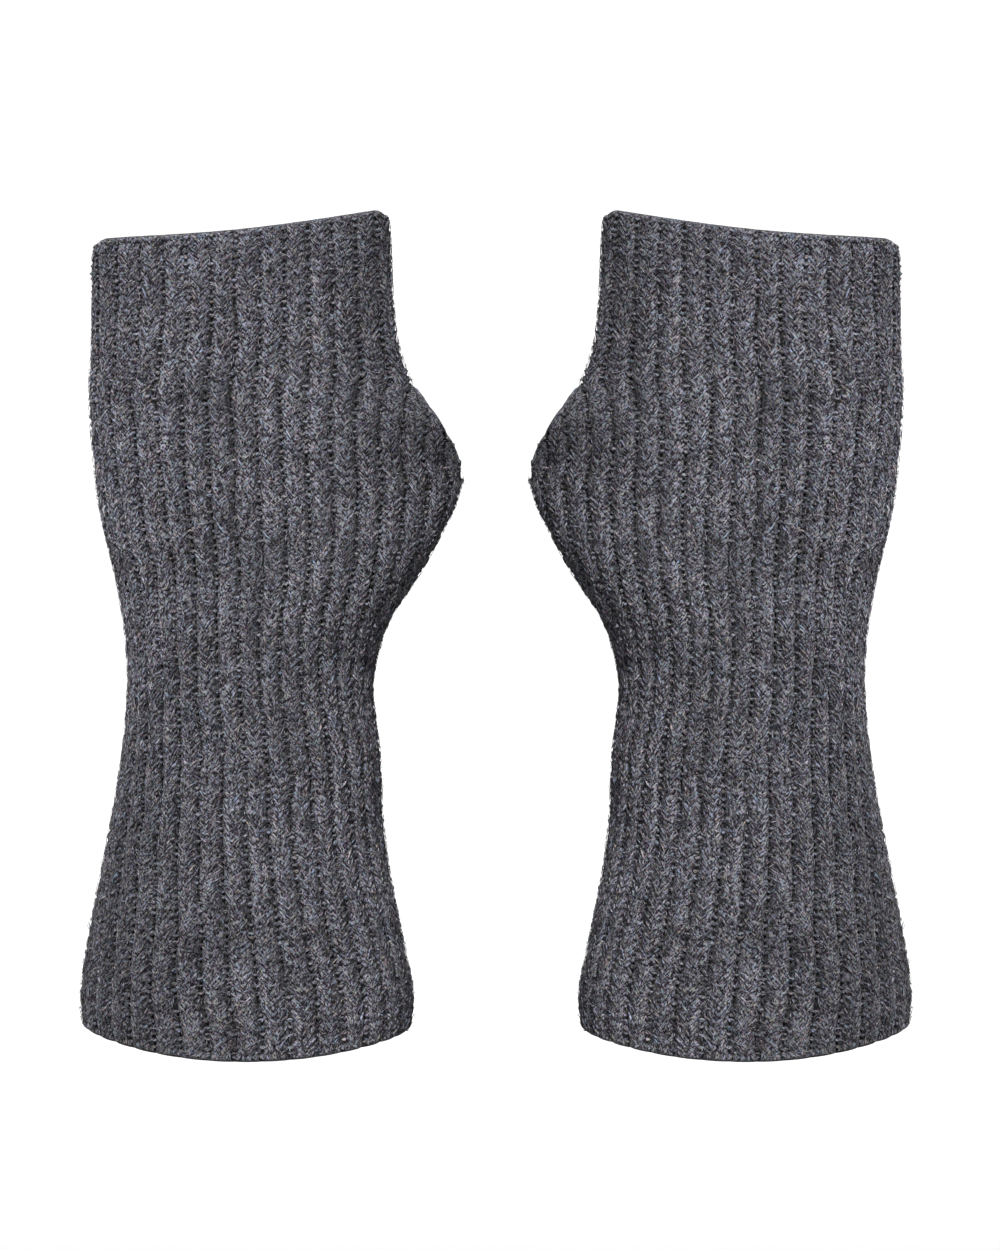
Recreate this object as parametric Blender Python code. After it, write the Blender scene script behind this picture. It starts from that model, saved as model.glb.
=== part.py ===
"""A pair of knitted fingerless gloves, worn form, hollow, thumbs towards each other.

Frame: +X to the right, +Z towards the fingers, the backs of the hands face -Y.
The origin is on the mid-plane of the pair, at the height of the wrists.

Each glove is one ribbed panel, folded round the hand and sewn along its thumb side:
from the cuff up to the tip of the thumb opening, and from the crotch of the thumb
up to the finger edge.  The slit between the two seams is the thumb opening.

A place on the cloth is given by a rib number and a height.  Rib numbers run round
the tube from the thumb-side seam (0), over the back of the hand, to the outer side
(half of RIBS), and over the palm back to the seam (RIBS).
"""
import math
from collections import namedtuple
from functools import lru_cache

import bpy
import numpy as np

MM = 0.001

# Knit
RIBS = 34                   # ribs round the whole tube, below the thumb
THUMB_RIBS = 3              # ribs on each side of the seam that end at the thumb opening
WALL = 2.8 * MM             # inside of the cloth to the crest of a rib
RIB_RELIEF = 1.4 * MM       # crest of a rib to the valley beside it
EDGE_LIP = 0.6 * MM         # how far the middle of the cloth stands past a raw edge

# Edges
TIP_HEIGHT = 53.0 * MM      # lower end of the thumb opening
CROTCH_HEIGHT = 78.0 * MM   # upper end of the thumb opening
EVEN_HEIGHT = 95.0 * MM     # above here the ribs beside the thumb are no wider than the rest
RIM_CROWDING = 5            # more keeps the change of width closer to the thumb
THUMB_GAPE = 15.0 * MM      # widest gap between its front and back rims
GAPE_ROUNDNESS = 0.75       # 1 gives pointed ends, less gives rounder ones
HEM_OUTER = -84.5 * MM      # cuff hem at the outer side
HEM_THUMB = -85.7 * MM      # cuff hem at the thumb side
HEM_DIP = 4.8 * MM          # how much lower the hem is at mid front and mid back
FINGER_OUTER = 113.0 * MM   # finger edge at the little finger
FINGER_THUMB = 121.0 * MM   # finger edge at the index finger
FINGER_DIP = 2.0 * MM       # how far the finger edge sags between the two

# Mesh
RIB_POINTS = 4              # outer points a rib
LOWER_ROWS = 14             # from the hem to the rim of the thumb and its crotch
UPPER_ROWS = 4              # from the crotch to the finger edge
ARC_STEPS = 240             # straight steps that measure the way round a section
RIM_STEPS = 40              # heights that place the ribs' ends on the thumb's rim
SHARP_ANGLE = 70            # degrees between two faces that shade as an edge

# Charcoal wool
WOOL_COLOUR = (0.088, 0.087, 0.099, 1.0)
WOOL_ROUGHNESS = 0.95

# Sections of one glove, in millimetres.  outer and thumb are the distances of its two
# sides from the mid-plane of the pair, depth is front to palm, setback moves the
# middle of the depth towards the palm, square is the exponent of the oval, pinch is
# how much thinner it is at the thumb side, and lead is the rib number that lies there.
Section = namedtuple("Section", "height outer thumb depth setback square pinch lead")

CUFF_TO_TIP = [
    Section(-91.0, 103.6, 22.4, 70.0, 0.0, 2.00, 0.00, 2.4),
    Section(-78.0, 105.2, 20.8, 70.0, 0.0, 2.00, 0.00, 2.3),
    Section(-60.0, 102.8, 24.0, 65.0, 0.0, 2.00, 0.00, 2.1),
    Section(-38.0, 98.4, 28.0, 58.5, 0.0, 2.05, 0.00, 1.8),
    Section(-14.0, 94.5, 29.4, 54.5, 0.0, 2.10, 0.00, 1.5),
    Section(2.0, 93.3, 30.8, 52.5, 0.0, 2.10, 0.00, 1.2),
    Section(16.0, 94.2, 27.4, 49.5, 0.6, 2.15, 0.00, 0.9),
    Section(28.0, 96.4, 20.0, 45.5, 1.2, 2.20, 0.05, 0.6),
    Section(40.0, 99.4, 13.2, 41.0, 1.7, 2.25, 0.20, 0.3),
    Section(47.0, 100.9, 9.8, 38.8, 1.9, 2.28, 0.28, 0.1),
    Section(53.0, 101.7, 7.9, 37.0, 2.0, 2.30, 0.35, 0.0),
]

TIP_TO_FINGERS = [
    Section(53.0, 101.7, 7.9, 37.0, 2.0, 2.30, 0.35, 0.0),
    Section(60.5, 102.4, 10.2, 35.5, 1.9, 2.35, 0.38, 0.0),
    Section(68.0, 103.0, 14.4, 33.0, 1.7, 2.45, 0.42, 0.0),
    Section(78.0, 103.2, 20.7, 30.0, 1.3, 2.60, 0.46, 0.0),
    Section(87.0, 102.6, 24.1, 28.0, 1.0, 2.60, 0.45, 0.0),
    Section(99.0, 102.3, 25.7, 26.5, 0.6, 2.60, 0.42, 0.0),
    Section(112.0, 102.2, 26.3, 26.0, 0.2, 2.60, 0.38, 0.0),
    Section(124.0, 102.2, 27.1, 25.5, 0.0, 2.60, 0.35, 0.0),
]


def smooth_value(rows, name, height):
    """One column at a height in millimetres, on a smooth curve through the rows."""
    knots = np.array([row.height for row in rows])
    values = np.array([getattr(row, name) for row in rows])
    slopes = np.gradient(values, knots)
    i = int(np.clip(np.searchsorted(knots, height) - 1, 0, len(knots) - 2))
    span = knots[i + 1] - knots[i]
    t = (height - knots[i]) / span
    rise = values[i + 1] - values[i]
    ease = t * t * (3 - 2 * t)
    start = t * (1 - t) ** 2 * span * slopes[i]
    end = t * t * (t - 1) * span * slopes[i + 1]
    return values[i] + rise * ease + start + end


@lru_cache(maxsize=None)
def section_at(height):
    """The section at a height in metres, with its lengths in metres."""
    rows = CUFF_TO_TIP if height < TIP_HEIGHT else TIP_TO_FINGERS
    level = height / MM
    lengths = [smooth_value(rows, name, level) * MM for name in ("outer", "thumb", "depth", "setback")]
    shape = [smooth_value(rows, name, level) for name in ("square", "pinch", "lead")]
    return Section(height, *lengths, *shape)


def ended_ribs(height):
    """Ribs that have ended on each side.  A rib runs straight up until the rim cuts it."""
    if height <= TIP_HEIGHT:
        return 0.0
    if height >= CROTCH_HEIGHT:
        return THUMB_RIBS
    tip, here, crotch = [section_at(level).thumb for level in (TIP_HEIGHT, height, CROTCH_HEIGHT)]
    return THUMB_RIBS * (here - tip) / (crotch - tip)


def half_gap_at(height):
    """Half the gap between the rims of the thumb opening."""
    way = (height - TIP_HEIGHT) / (CROTCH_HEIGHT - TIP_HEIGHT)
    if way <= 0 or way >= 1:
        return 0.0
    return 0.5 * THUMB_GAPE * math.sin(math.pi * way) ** GAPE_ROUNDNESS


def power(values, exponent):
    """Signed power, which turns a circle's cosine and sine into a squarer oval's."""
    return np.sign(values) * np.abs(values) ** exponent


def oval(section, half_gap):
    """Points of a section from its front thumb rim round to the back one."""
    bend = 2 / section.square
    half_depth = section.depth / 2
    rim_depth = half_depth * (1 - section.pinch)
    first = math.asin((half_gap / rim_depth) ** (1 / bend))
    angles = np.linspace(first, 2 * math.pi - first, ARC_STEPS + 1)
    reach = power(np.cos(angles), bend)
    half_width = (section.outer - section.thumb) / (1 + reach[0])
    across = half_width * (1 + reach) - section.outer
    thin = 1 - section.pinch * ((1 + reach) / 2) ** 2
    deep = section.setback - half_depth * power(np.sin(angles), bend) * thin
    return np.stack([across, deep], axis=1)


@lru_cache(maxsize=None)
def measured_oval(height):
    """The section's points at a height, its steps, and the way round to each point."""
    points = oval(section_at(height), half_gap_at(height))
    steps = np.linalg.norm(np.diff(points, axis=0), axis=1)
    return points, steps, np.concatenate([[0.0], np.cumsum(steps)])


def rib_pitch(height):
    """Mean width of a rib at a height."""
    return measured_oval(height)[2][-1] / (RIBS - 2 * ended_ribs(height))


@lru_cache(maxsize=None)
def rim_stretch(height):
    """How much the cloth is stretched beside the thumb opening, so that the rest runs straight."""
    if height <= TIP_HEIGHT or height >= EVEN_HEIGHT:
        return 0.0
    way = (height - TIP_HEIGHT) / (EVEN_HEIGHT - TIP_HEIGHT)
    plain = rib_pitch(TIP_HEIGHT) * (1 - way) + rib_pitch(EVEN_HEIGHT) * way
    return 1 - plain / rib_pitch(height)


def cloth_point(rib, height, inset):
    """The point of the left glove at a rib number and height, inset from the crests."""
    ended = ended_ribs(height)
    points, steps, way = measured_oval(height)
    share = (rib - ended - section_at(height).lead) / (RIBS - 2 * ended)
    if half_gap_at(height) == 0:
        share %= 1.0
    side = 2 * share - 1
    share += rim_stretch(height) * side * (abs(side) ** (RIM_CROWDING - 1) - 1) / 2
    at = share * way[-1]
    i = int(np.clip(np.searchsorted(way, at) - 1, 0, ARC_STEPS - 1))
    along = (points[i + 1] - points[i]) / steps[i]
    inward = np.array([along[1], -along[0]])
    spot = points[i] + along * (at - way[i]) + inward * inset
    return (spot[0], spot[1], height)


def rib_inset(rib):
    """How far a point of the outer side lies inside the crests."""
    return RIB_RELIEF * math.cos(math.pi * rib) ** 2


def wall_inset(rib):
    """The plain inner side lies at one depth."""
    return WALL


def signed_rib(rib):
    """Ribs from the seam, negative on the palm side."""
    return rib if rib <= RIBS / 2 else rib - RIBS


def place_across(rib, height):
    """A rib's share of the way from the outer side to the thumb side, and of the half depth."""
    section = section_at(height)
    across, deep, _ = cloth_point(rib, height, 0.0)
    share = (across + section.outer) / (section.outer - section.thumb)
    return share, 2 * (deep - section.setback) / section.depth


def hem_height(rib):
    """Height of the cuff hem on a rib."""
    share, deep = place_across(rib, HEM_OUTER)
    return HEM_OUTER + (HEM_THUMB - HEM_OUTER) * share - HEM_DIP * deep ** 2


def finger_height(rib):
    """Height of the finger edge on a rib."""
    share, _ = place_across(rib, FINGER_OUTER)
    return FINGER_OUTER + (FINGER_THUMB - FINGER_OUTER) * share - FINGER_DIP * math.sin(math.pi * share)


@lru_cache(maxsize=None)
def rim_way():
    """Heights up the thumb's rim, and the ribs that have ended at each."""
    levels = np.linspace(TIP_HEIGHT, CROTCH_HEIGHT, RIM_STEPS)
    return levels, [ended_ribs(level) for level in levels]


def rim_height(rib):
    """Top of the lower rows: the thumb's rim, and the height of its crotch elsewhere."""
    levels, ended = rim_way()
    return float(np.interp(abs(signed_rib(rib)), ended, levels))


def add_quads(faces, low, high, flip):
    """A band of quads between two closed rows of point numbers of one length."""
    for i in range(len(low)):
        j = (i + 1) % len(low)
        quad = (low[i], low[j], high[j], high[i])
        faces.append(quad[::-1] if flip else quad)


def add_skin(points, faces, rib_points, inset_of, flip):
    """One side of the cloth.  Gives its three edges as lists of (rib, point number)."""
    ribs = [i / rib_points for i in range(RIBS * rib_points)]
    first = THUMB_RIBS * rib_points
    last = (RIBS - THUMB_RIBS) * rib_points
    rows = []
    for k in range(LOWER_ROWS + 1):
        share = k / LOWER_ROWS
        row = []
        for i, rib in enumerate(ribs):
            if k == LOWER_ROWS and i == last:
                row.append(row[first])
                continue
            height = hem_height(rib) * (1 - share) + rim_height(rib) * share
            row.append(len(points))
            points.append(cloth_point(rib, height, inset_of(rib)))
        rows.append(row)
    for low, high in zip(rows, rows[1:]):
        add_quads(faces, low, high, flip)
    hand_ribs = ribs[first:last]
    top = rows[-1][first:last]
    for k in range(1, UPPER_ROWS + 1):
        share = k / UPPER_ROWS
        row = []
        for rib in hand_ribs:
            height = CROTCH_HEIGHT * (1 - share) + finger_height(rib) * share
            row.append(len(points))
            points.append(cloth_point(rib, height, inset_of(rib)))
        add_quads(faces, top, row, flip)
        top = row
    around = list(range(last, len(ribs))) + list(range(first))
    thumb = [(signed_rib(ribs[i]), rows[-1][i]) for i in around]
    return list(zip(ribs, rows[0])), list(zip(hand_ribs, top)), thumb


def add_lip(points, edge, other, toward):
    """A row along an edge, half-way through the cloth and a little past the edge."""
    lip = []
    ribs = [rib for rib, _ in other]
    for rib, number in edge:
        near = min(range(len(ribs)), key=lambda i: abs(ribs[i] - rib))
        here = np.array(points[number])
        depth = np.array(points[other[near][1]]) - here
        inward = depth / np.linalg.norm(depth)
        spot = here + inward * WALL / 2 + np.array(toward) * EDGE_LIP
        lip.append((rib, len(points)))
        points.append(tuple(spot))
    return lip


def zip_edges(faces, edge, other, flip):
    """Triangles between two closed rows that have different numbers of points."""
    i = j = 0
    while i < len(edge) or j < len(other):
        next_i = edge[i + 1][0] if i + 1 < len(edge) else math.inf
        next_j = other[j + 1][0] if j + 1 < len(other) else math.inf
        a = edge[i % len(edge)][1]
        b = other[j % len(other)][1]
        step_edge = j >= len(other) or (i < len(edge) and next_i <= next_j)
        if step_edge:
            i += 1
            face = (a, edge[i % len(edge)][1], b)
        else:
            j += 1
            face = (a, other[j % len(other)][1], b)
        faces.append(face[::-1] if flip else face)


def close_edge(points, faces, edge, other, toward, flip):
    """The rounded rim between the outer side's edge and the inner side's."""
    lip = add_lip(points, edge, other, toward)
    numbers = [number for _, number in edge]
    add_quads(faces, numbers, [number for _, number in lip], flip)
    zip_edges(faces, lip, other, flip)


def glove_mesh(name, mirror):
    """The closed mesh of one glove.  mirror gives the right one from the left one."""
    points = []
    faces = []
    outer = add_skin(points, faces, RIB_POINTS, rib_inset, True)
    inner = add_skin(points, faces, 1, wall_inset, False)
    tip = np.array(cloth_point(0.0, TIP_HEIGHT, 0.0))
    crotch = np.array(cloth_point(THUMB_RIBS, CROTCH_HEIGHT, 0.0))
    slant = (crotch - tip) / np.linalg.norm(crotch - tip)
    out_of_thumb = (slant[2], 0.0, -slant[0])
    close_edge(points, faces, outer[0], inner[0], (0.0, 0.0, -1.0), False)
    close_edge(points, faces, outer[1], inner[1], (0.0, 0.0, 1.0), True)
    close_edge(points, faces, outer[2], inner[2], out_of_thumb, True)
    if mirror:
        points = [(-x, y, z) for x, y, z in points]
        faces = [face[::-1] for face in faces]
    mesh = bpy.data.meshes.new(name)
    mesh.from_pydata(points, [], faces)
    mesh.validate()
    mesh.shade_smooth()
    mesh.set_sharp_from_angle(angle=math.radians(SHARP_ANGLE))
    return mesh


def wool_material(name):
    """Dull charcoal wool."""
    material = bpy.data.materials.new(name)
    material.use_nodes = True
    shader = material.node_tree.nodes["Principled BSDF"]
    shader.inputs["Base Color"].default_value = WOOL_COLOUR
    shader.inputs["Roughness"].default_value = WOOL_ROUGHNESS
    shader.inputs["Metallic"].default_value = 0.0
    material.diffuse_color = WOOL_COLOUR
    return material


def make_glove(name, mirror):
    """One glove as an object with its own material."""
    mesh = glove_mesh(name, mirror)
    mesh.materials.append(wool_material(name + "_wool"))
    glove = bpy.data.objects.new(name, mesh)
    bpy.context.scene.collection.objects.link(glove)
    return glove


def main():
    for thing in list(bpy.data.objects):
        bpy.data.objects.remove(thing, do_unlink=True)
    make_glove("left_glove", False)
    make_glove("right_glove", True)


main()
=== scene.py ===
"""Looks of a pair of fingerless gloves in brushed charcoal rib knit.

The cloth of each glove is a hollow ribbed shell in the form of its solid.  On it lie
the knit stitches, one V for each course of each rib, the purl bumps in the valleys
between the ribs, the loops along the raw edges, and the loose fibres that brushing has
raised.  The inside has its stitches where it can be seen through an opening.

A place on the cloth is given by a rib number and a height, as on the solid.  Rib
numbers run round the tube from the thumb-side seam (0), over the back of the hand, to
the outer side (half of RIBS), and over the palm back to the seam (RIBS).  Everything is
built on the left glove and mirrored for the right one.
"""
import math
from collections import namedtuple

import bpy
import numpy as np
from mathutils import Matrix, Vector


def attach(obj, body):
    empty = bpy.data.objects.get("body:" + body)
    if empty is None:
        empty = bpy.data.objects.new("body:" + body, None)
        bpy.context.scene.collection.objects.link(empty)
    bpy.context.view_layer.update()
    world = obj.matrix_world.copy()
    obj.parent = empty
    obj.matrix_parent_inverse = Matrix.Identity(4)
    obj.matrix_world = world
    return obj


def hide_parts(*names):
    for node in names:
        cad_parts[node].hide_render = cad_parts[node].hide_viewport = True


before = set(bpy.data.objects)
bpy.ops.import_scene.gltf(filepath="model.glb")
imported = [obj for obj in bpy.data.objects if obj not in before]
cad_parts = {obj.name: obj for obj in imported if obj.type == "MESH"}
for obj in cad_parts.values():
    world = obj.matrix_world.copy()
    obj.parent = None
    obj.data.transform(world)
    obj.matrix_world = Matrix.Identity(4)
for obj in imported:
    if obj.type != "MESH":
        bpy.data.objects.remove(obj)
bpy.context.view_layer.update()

MM = 0.001
random = np.random.default_rng(20)

# Knit
RIBS = 34                       # ribs round the whole tube, below the thumb
THUMB_RIBS = 3                  # ribs on each side of the seam that end at the thumb opening
COURSES = 122                   # rows of stitches from the hem to the finger edge
WALL = 2.8 * MM                 # inside of the cloth to the crest of a rib
RIB_RELIEF = 1.4 * MM           # crest of a rib to the valley beside it
VALLEY_SHARPNESS = 5            # more makes flatter ribs with narrower valleys
INNER_RELIEF = 0.45 * MM        # how far the inside sinks in behind each rib
EDGE_LIP = 0.6 * MM             # how far the middle of the cloth stands past a raw edge
EDGE_REACH = -0.05 * MM         # how far the stitches reach past the outer edge of a rim
RIM_SHADE_TONE = 0.65                 # painted shade on the cloth at its raw edges, whose lips face the key light

# Edges
TIP_HEIGHT = 53.0 * MM          # lower end of the thumb opening
CROTCH_HEIGHT = 78.0 * MM       # upper end of the thumb opening
EVEN_HEIGHT = 95.0 * MM         # above here the ribs beside the thumb are no wider than the rest
RIM_CROWDING = 5                # more keeps the change of width closer to the thumb
THUMB_GAPE = 15.0 * MM          # widest gap between its front and back rims
GAPE_ROUNDNESS = 0.75           # 1 gives pointed ends, less gives rounder ones
HEM_OUTER = -84.5 * MM          # cuff hem at the outer side
HEM_THUMB = -85.7 * MM          # cuff hem at the thumb side
HEM_DIP = 4.8 * MM              # how much lower the hem is at mid front and mid back
FINGER_OUTER = 113.0 * MM       # finger edge at the little finger
FINGER_THUMB = 121.0 * MM       # finger edge at the index finger
FINGER_DIP = 2.0 * MM           # how far the finger edge sags between the two
FINGER_CORNER = 3.0 * MM        # how far in from the sides its corners are rounded
CORNER_DROP = 0.6               # how far they drop, as a share of that
INSIDE_REACH = 24 * MM          # how far in from an edge the inside has its stitches
INSIDE_RIBS = 6                 # the same on each side of the thumb opening, in ribs

# The two legs of a V stitch.  start and end are shares of a rib, from the top of the leg
# down to the foot of the V, the sizes are in millimetres, and sides and rings are those
# of the leg's spindle.  The difference between their tones is painted light and shade:
# the second leg, which the key light falls on more, is darker, and the first lighter.
Leg = namedtuple("Leg", "start end rise width thickness tone sides rings")

LEGS = [
    Leg(0.93, 0.55, 3.4, 0.95, 0.85, 1.06, 3, 2),
    Leg(0.08, 0.57, 3.5, 1.05, 1.0, 0.91, 3, 3),
]
LEG_RINGS = (0.18, 0.82)        # first and last ring, as shares of the way down
LEG_SIZES = (0.75, 1.0, 0.75)   # size at the top, the middle and the foot
LEG_ARCH = 0.08                 # how much the middle is raised, as a share of the rise
FOOT_SINK = 0.25 * MM           # how much deeper the foot lies than the top
INSIDE_LIFT = 0.1 * MM          # how far the legs inside stand out of the cloth
LEAST_LEFT = 0.3                # a leg with less of its rise between the edges is left out

# How uneven the legs are, as standard deviations
START_SPREAD = 0.05             # of the tops, in ribs
END_SPREAD = 0.06               # of the feet, in ribs
RISE_SPREAD = 0.20              # of the rise, as a share
RISE_RANGE = (0.5, 1.5)
FOOT_SPREAD = 0.28 * MM         # of the height of the feet
SINK_SPREAD = 0.08 * MM         # of the depth
LEG_SIZE_SPREAD = 0.10
LEG_TONE_SPREAD = 0.20          # where the knit is clear

# Purl bumps, and how uneven they are
BAR_REACH = 0.16                # half a purl bump, in ribs
SEAM_REACH = 0.30               # half a stitch of the seam on the thumb side, in ribs
BAR_WIDTH = 1.15 * MM
BAR_SAG = 0.25 * MM             # how much lower its middle is than its ends
BAR_DEPTH = 0.08 * MM           # its middle below the stitches beside it
BAR_LOSS = 0.7 * MM             # how much deeper the ones lie that leave a dark hole
HOLE_SHARE = 0.25               # share of them that do so
BAR_TONE = 0.85
# The sunken ones are darkened too: painted shade for the dark holes that they leave
HOLE_SHADE_TONE = 0.20
BAR_HEIGHT_SPREAD = 0.22 * MM
BAR_DEPTH_SPREAD = 0.10 * MM
BAR_SIZE_SPREAD = 0.18
BAR_TONE_SPREAD = 0.22

# A loop over a raw edge, from the outside to the inside of the cloth: across in ribs,
# and in millimetres how far it lies in from the edge and below the crests
LoopPoint = namedtuple("LoopPoint", "across inward depth")

LOOP = [
    LoopPoint(-0.10, 1.6, 0.6),
    LoopPoint(0.0, 0.3, 0.5),
    LoopPoint(0.0, -0.1, WALL / MM / 2),
    LoopPoint(0.0, 0.9, WALL / MM - 0.3),
]
LOOPS_PER_RIB = 4               # of the cast-on and cast-off edges
LOOP_WIDTH = 2.0 * MM
LOOP_THICKNESS = 0.5 * MM
LOOP_SINK = 0.60 * MM           # how far inside the lip of the cloth they turn
LOOP_TONE = 0.9
LOOP_RIB_SPREAD = 0.05
LOOP_SINK_SPREAD = 0.04 * MM
LOOP_SIZE_SPREAD = 0.10
LOOP_TONE_SPREAD = 0.15
RIM_LOOP_RIBS = (0.3, THUMB_RIBS - 0.8)     # where the thumb's rim has them

# Places across a rib of the shell's points: the valley is a narrow groove
GROOVE = (0.0, 0.07, 0.25, 0.5, 0.75, 0.93)
GROOVE_DEPTH = 0.7 * MM         # below the felt beside it
FELT_DEPTH = 0.50 * MM          # the felt's surface below the tops of the stitches

# Tone of the felt at those places, where the knit is open: painted shade, darkest in the
# holes between the purl bumps, and darker on the flank of each rib that the key light
# falls on more, to even it out.
GROOVE_SHADE_TONES = (0.04, 0.34, 0.66, 0.94, 1.0, 0.76)

# How far the fibres lean from upright, in degrees, at places across a rib
FIBRE_PLACES = (0.0, 0.2, 0.38, 0.5, 0.62, 0.75, 0.9, 1.0)
FIBRE_LEANS = (-4, -26, -44, -20, 34, 34, 6, -4)

OVER_FIRST_LEGS = 0.40          # share of the fibres that lies over the first leg of each V
FIBRE_ENDS = (-0.4, 1.0)        # least and most height of the free ends, in lifts
FIBRE_FLATNESS = 0.7            # thickness as a share of the width
FIBRE_SINK = 0.85               # how far they follow the valleys down
FELTED_COVER = 1.15             # share of the fibres that stay, where the knit is closed,
OPEN_LOSS = 0.35                # and how many fewer stay where it is open
DARK_SHARE = 0.42               # share of them from black wool
DARK_TONE = 0.09
GREY_TONE = 1.25
TONE_RANGE = (0.05, 2.1)
HUE_SPREAD = 0.05               # some wools are bluer and some browner

# Fibres on the surface, in millimetres.  spread and curl are in degrees, points is how
# many points a fibre's line has, and tones is how much they differ in tone.
Fibres = namedtuple(
    "Fibres", "name count shortest longest thinnest thickest lift spread curl points tones"
)

FIBRES = [
    Fibres("felt", 38000, 0.8, 2.4, 0.20, 0.34, 0.12, 34, 0, 3, 0.42),
    Fibres("strays", 4400, 1.8, 5.0, 0.13, 0.19, 0.38, 38, 60, 4, 0.55),
]

# Sections of one glove, in millimetres, as on the solid.  outer and thumb are the
# distances of its two sides from the mid-plane of the pair, depth is front to palm,
# setback moves the middle of the depth towards the palm, square is the exponent of the
# oval, pinch is how much thinner it is at the thumb side, and lead is the rib number
# that lies there.
Section = namedtuple("Section", "height outer thumb depth setback square pinch lead")

CUFF_TO_TIP = [
    Section(-91.0, 103.6, 22.4, 70.0, 0.0, 2.00, 0.00, 2.4),
    Section(-78.0, 105.2, 20.8, 70.0, 0.0, 2.00, 0.00, 2.3),
    Section(-60.0, 102.8, 24.0, 65.0, 0.0, 2.00, 0.00, 2.1),
    Section(-38.0, 98.4, 28.0, 58.5, 0.0, 2.05, 0.00, 1.8),
    Section(-14.0, 94.5, 29.4, 54.5, 0.0, 2.10, 0.00, 1.5),
    Section(2.0, 93.3, 30.8, 52.5, 0.0, 2.10, 0.00, 1.2),
    Section(16.0, 94.2, 27.4, 49.5, 0.6, 2.15, 0.00, 0.9),
    Section(28.0, 96.4, 20.0, 45.5, 1.2, 2.20, 0.05, 0.6),
    Section(40.0, 99.4, 13.2, 41.0, 1.7, 2.25, 0.20, 0.3),
    Section(47.0, 100.9, 9.8, 38.8, 1.9, 2.28, 0.28, 0.1),
    Section(53.0, 101.7, 7.9, 37.0, 2.0, 2.30, 0.35, 0.0),
]

TIP_TO_FINGERS = [
    Section(53.0, 101.7, 7.9, 37.0, 2.0, 2.30, 0.35, 0.0),
    Section(60.5, 102.4, 10.2, 35.5, 1.9, 2.35, 0.38, 0.0),
    Section(68.0, 103.0, 14.4, 33.0, 1.7, 2.45, 0.42, 0.0),
    Section(78.0, 103.2, 20.7, 30.0, 1.3, 2.60, 0.46, 0.0),
    Section(87.0, 102.6, 24.1, 28.0, 1.0, 2.60, 0.45, 0.0),
    Section(99.0, 102.3, 25.7, 26.5, 0.6, 2.60, 0.42, 0.0),
    Section(112.0, 102.2, 26.3, 26.0, 0.2, 2.60, 0.38, 0.0),
    Section(124.0, 102.2, 27.1, 25.5, 0.0, 2.60, 0.35, 0.0),
]

# How the knit shows up the glove: relief multiplies the depth of the valleys, clear is
# how plainly one stitch stands out from the next, fuzz is how far loose fibres stand
# off, and outer and thumb are painted light and shade at the glove's two sides, lighter
# or darker as the key light falls more or less on them.
Look = namedtuple("Look", "height relief clear fuzz outer thumb")

LOOKS = [
    Look(-91.0, 0.35, 1.00, 3.2, 0.64, 0.78),
    Look(-78.0, 0.55, 1.05, 3.2, 0.66, 0.78),
    Look(-40.0, 0.55, 1.05, 2.2, 0.78, 0.98),
    Look(0.0, 0.55, 1.00, 1.4, 0.92, 0.88),
    Look(50.0, 0.55, 1.00, 0.7, 1.17, 0.66),
    Look(78.0, 0.50, 0.90, 0.5, 1.22, 0.58),
    Look(100.0, 0.30, 0.62, 0.4, 1.20, 0.68),
    Look(124.0, 0.28, 0.55, 0.3, 1.18, 0.76),
]
SIDE_SHADE_SHARPNESS = 1.5            # more keeps the tones of the sides closer to the sides

# Mottling of the heather: how many patches there are up the glove and round it
MOTTLE_CELLS = ((8, 9), (22, 26), (48, 44))
MOTTLE_STRENGTHS = (0.07, 0.09, 0.08)
MOTTLES = [random.normal(0, 1, size) for size in MOTTLE_CELLS]

# Brushing has closed the knit more in some places than in others, a rib at a time
OPENNESS_CELLS = (26, RIBS)
OPENNESS_SPREAD = 0.36
OPENNESS_RANGE = (0.12, 1.6)
OPENNESS = random.normal(0, 1, OPENNESS_CELLS)

# The ribs waver a little on their way up, but not beside the thumb opening
WAVER_CELLS = (26, 17)
WAVER = 0.07                    # in ribs
WAVERS = random.normal(0, 1, WAVER_CELLS)

# Soft creases, as troughs across the ribs.  rib and height are at the middle, slope is
# the rise for each rib, length is in ribs and width in millimetres, both to each side.
Crease = namedtuple("Crease", "rib height slope length width depth")

CREASES = [
    Crease(9.5, -1.0, 0.5, 1.8, 2.2, 0.60),      # back of the wrist
    Crease(7.2, -14.0, -0.6, 1.6, 2.0, 0.50),
    Crease(4.0, 6.0, 0.9, 2.4, 2.5, 0.50),
    Crease(13.5, 4.0, -0.6, 2.2, 2.4, 0.45),
    Crease(3.6, 43.0, 1.5, 2.2, 3.0, 0.45),      # base of the thumb
    Crease(24.5, 1.0, 0.4, 3.2, 2.4, 0.70),      # inside of the wrist
    Crease(21.8, -12.0, -0.6, 2.4, 2.1, 0.55),
    Crease(29.0, 8.0, -0.8, 2.6, 2.6, 0.60),
    Crease(27.0, 61.0, 1.0, 3.0, 3.2, 0.60),     # palm
    Crease(31.4, 41.0, -1.5, 2.0, 2.8, 0.50),
    Crease(20.0, 84.0, 0.5, 2.2, 2.6, 0.40),
]

# Grids that the surface is looked up on, and half a step that its slopes are taken over
LEVEL_STEP = 0.5 * MM
LEVELS = np.arange(-92.0 * MM, 126.0 * MM, LEVEL_STEP)
ARC_STEPS = 480
HALF_STEP = 0.05                # in ribs

# Wools.  shades is how light the dark, the middle and the light ones are, turns is the
# two ways that the fibres run, in degrees, and grain is their size in millimetres.
Wool = namedtuple("Wool", "name shades turns grain")

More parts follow.
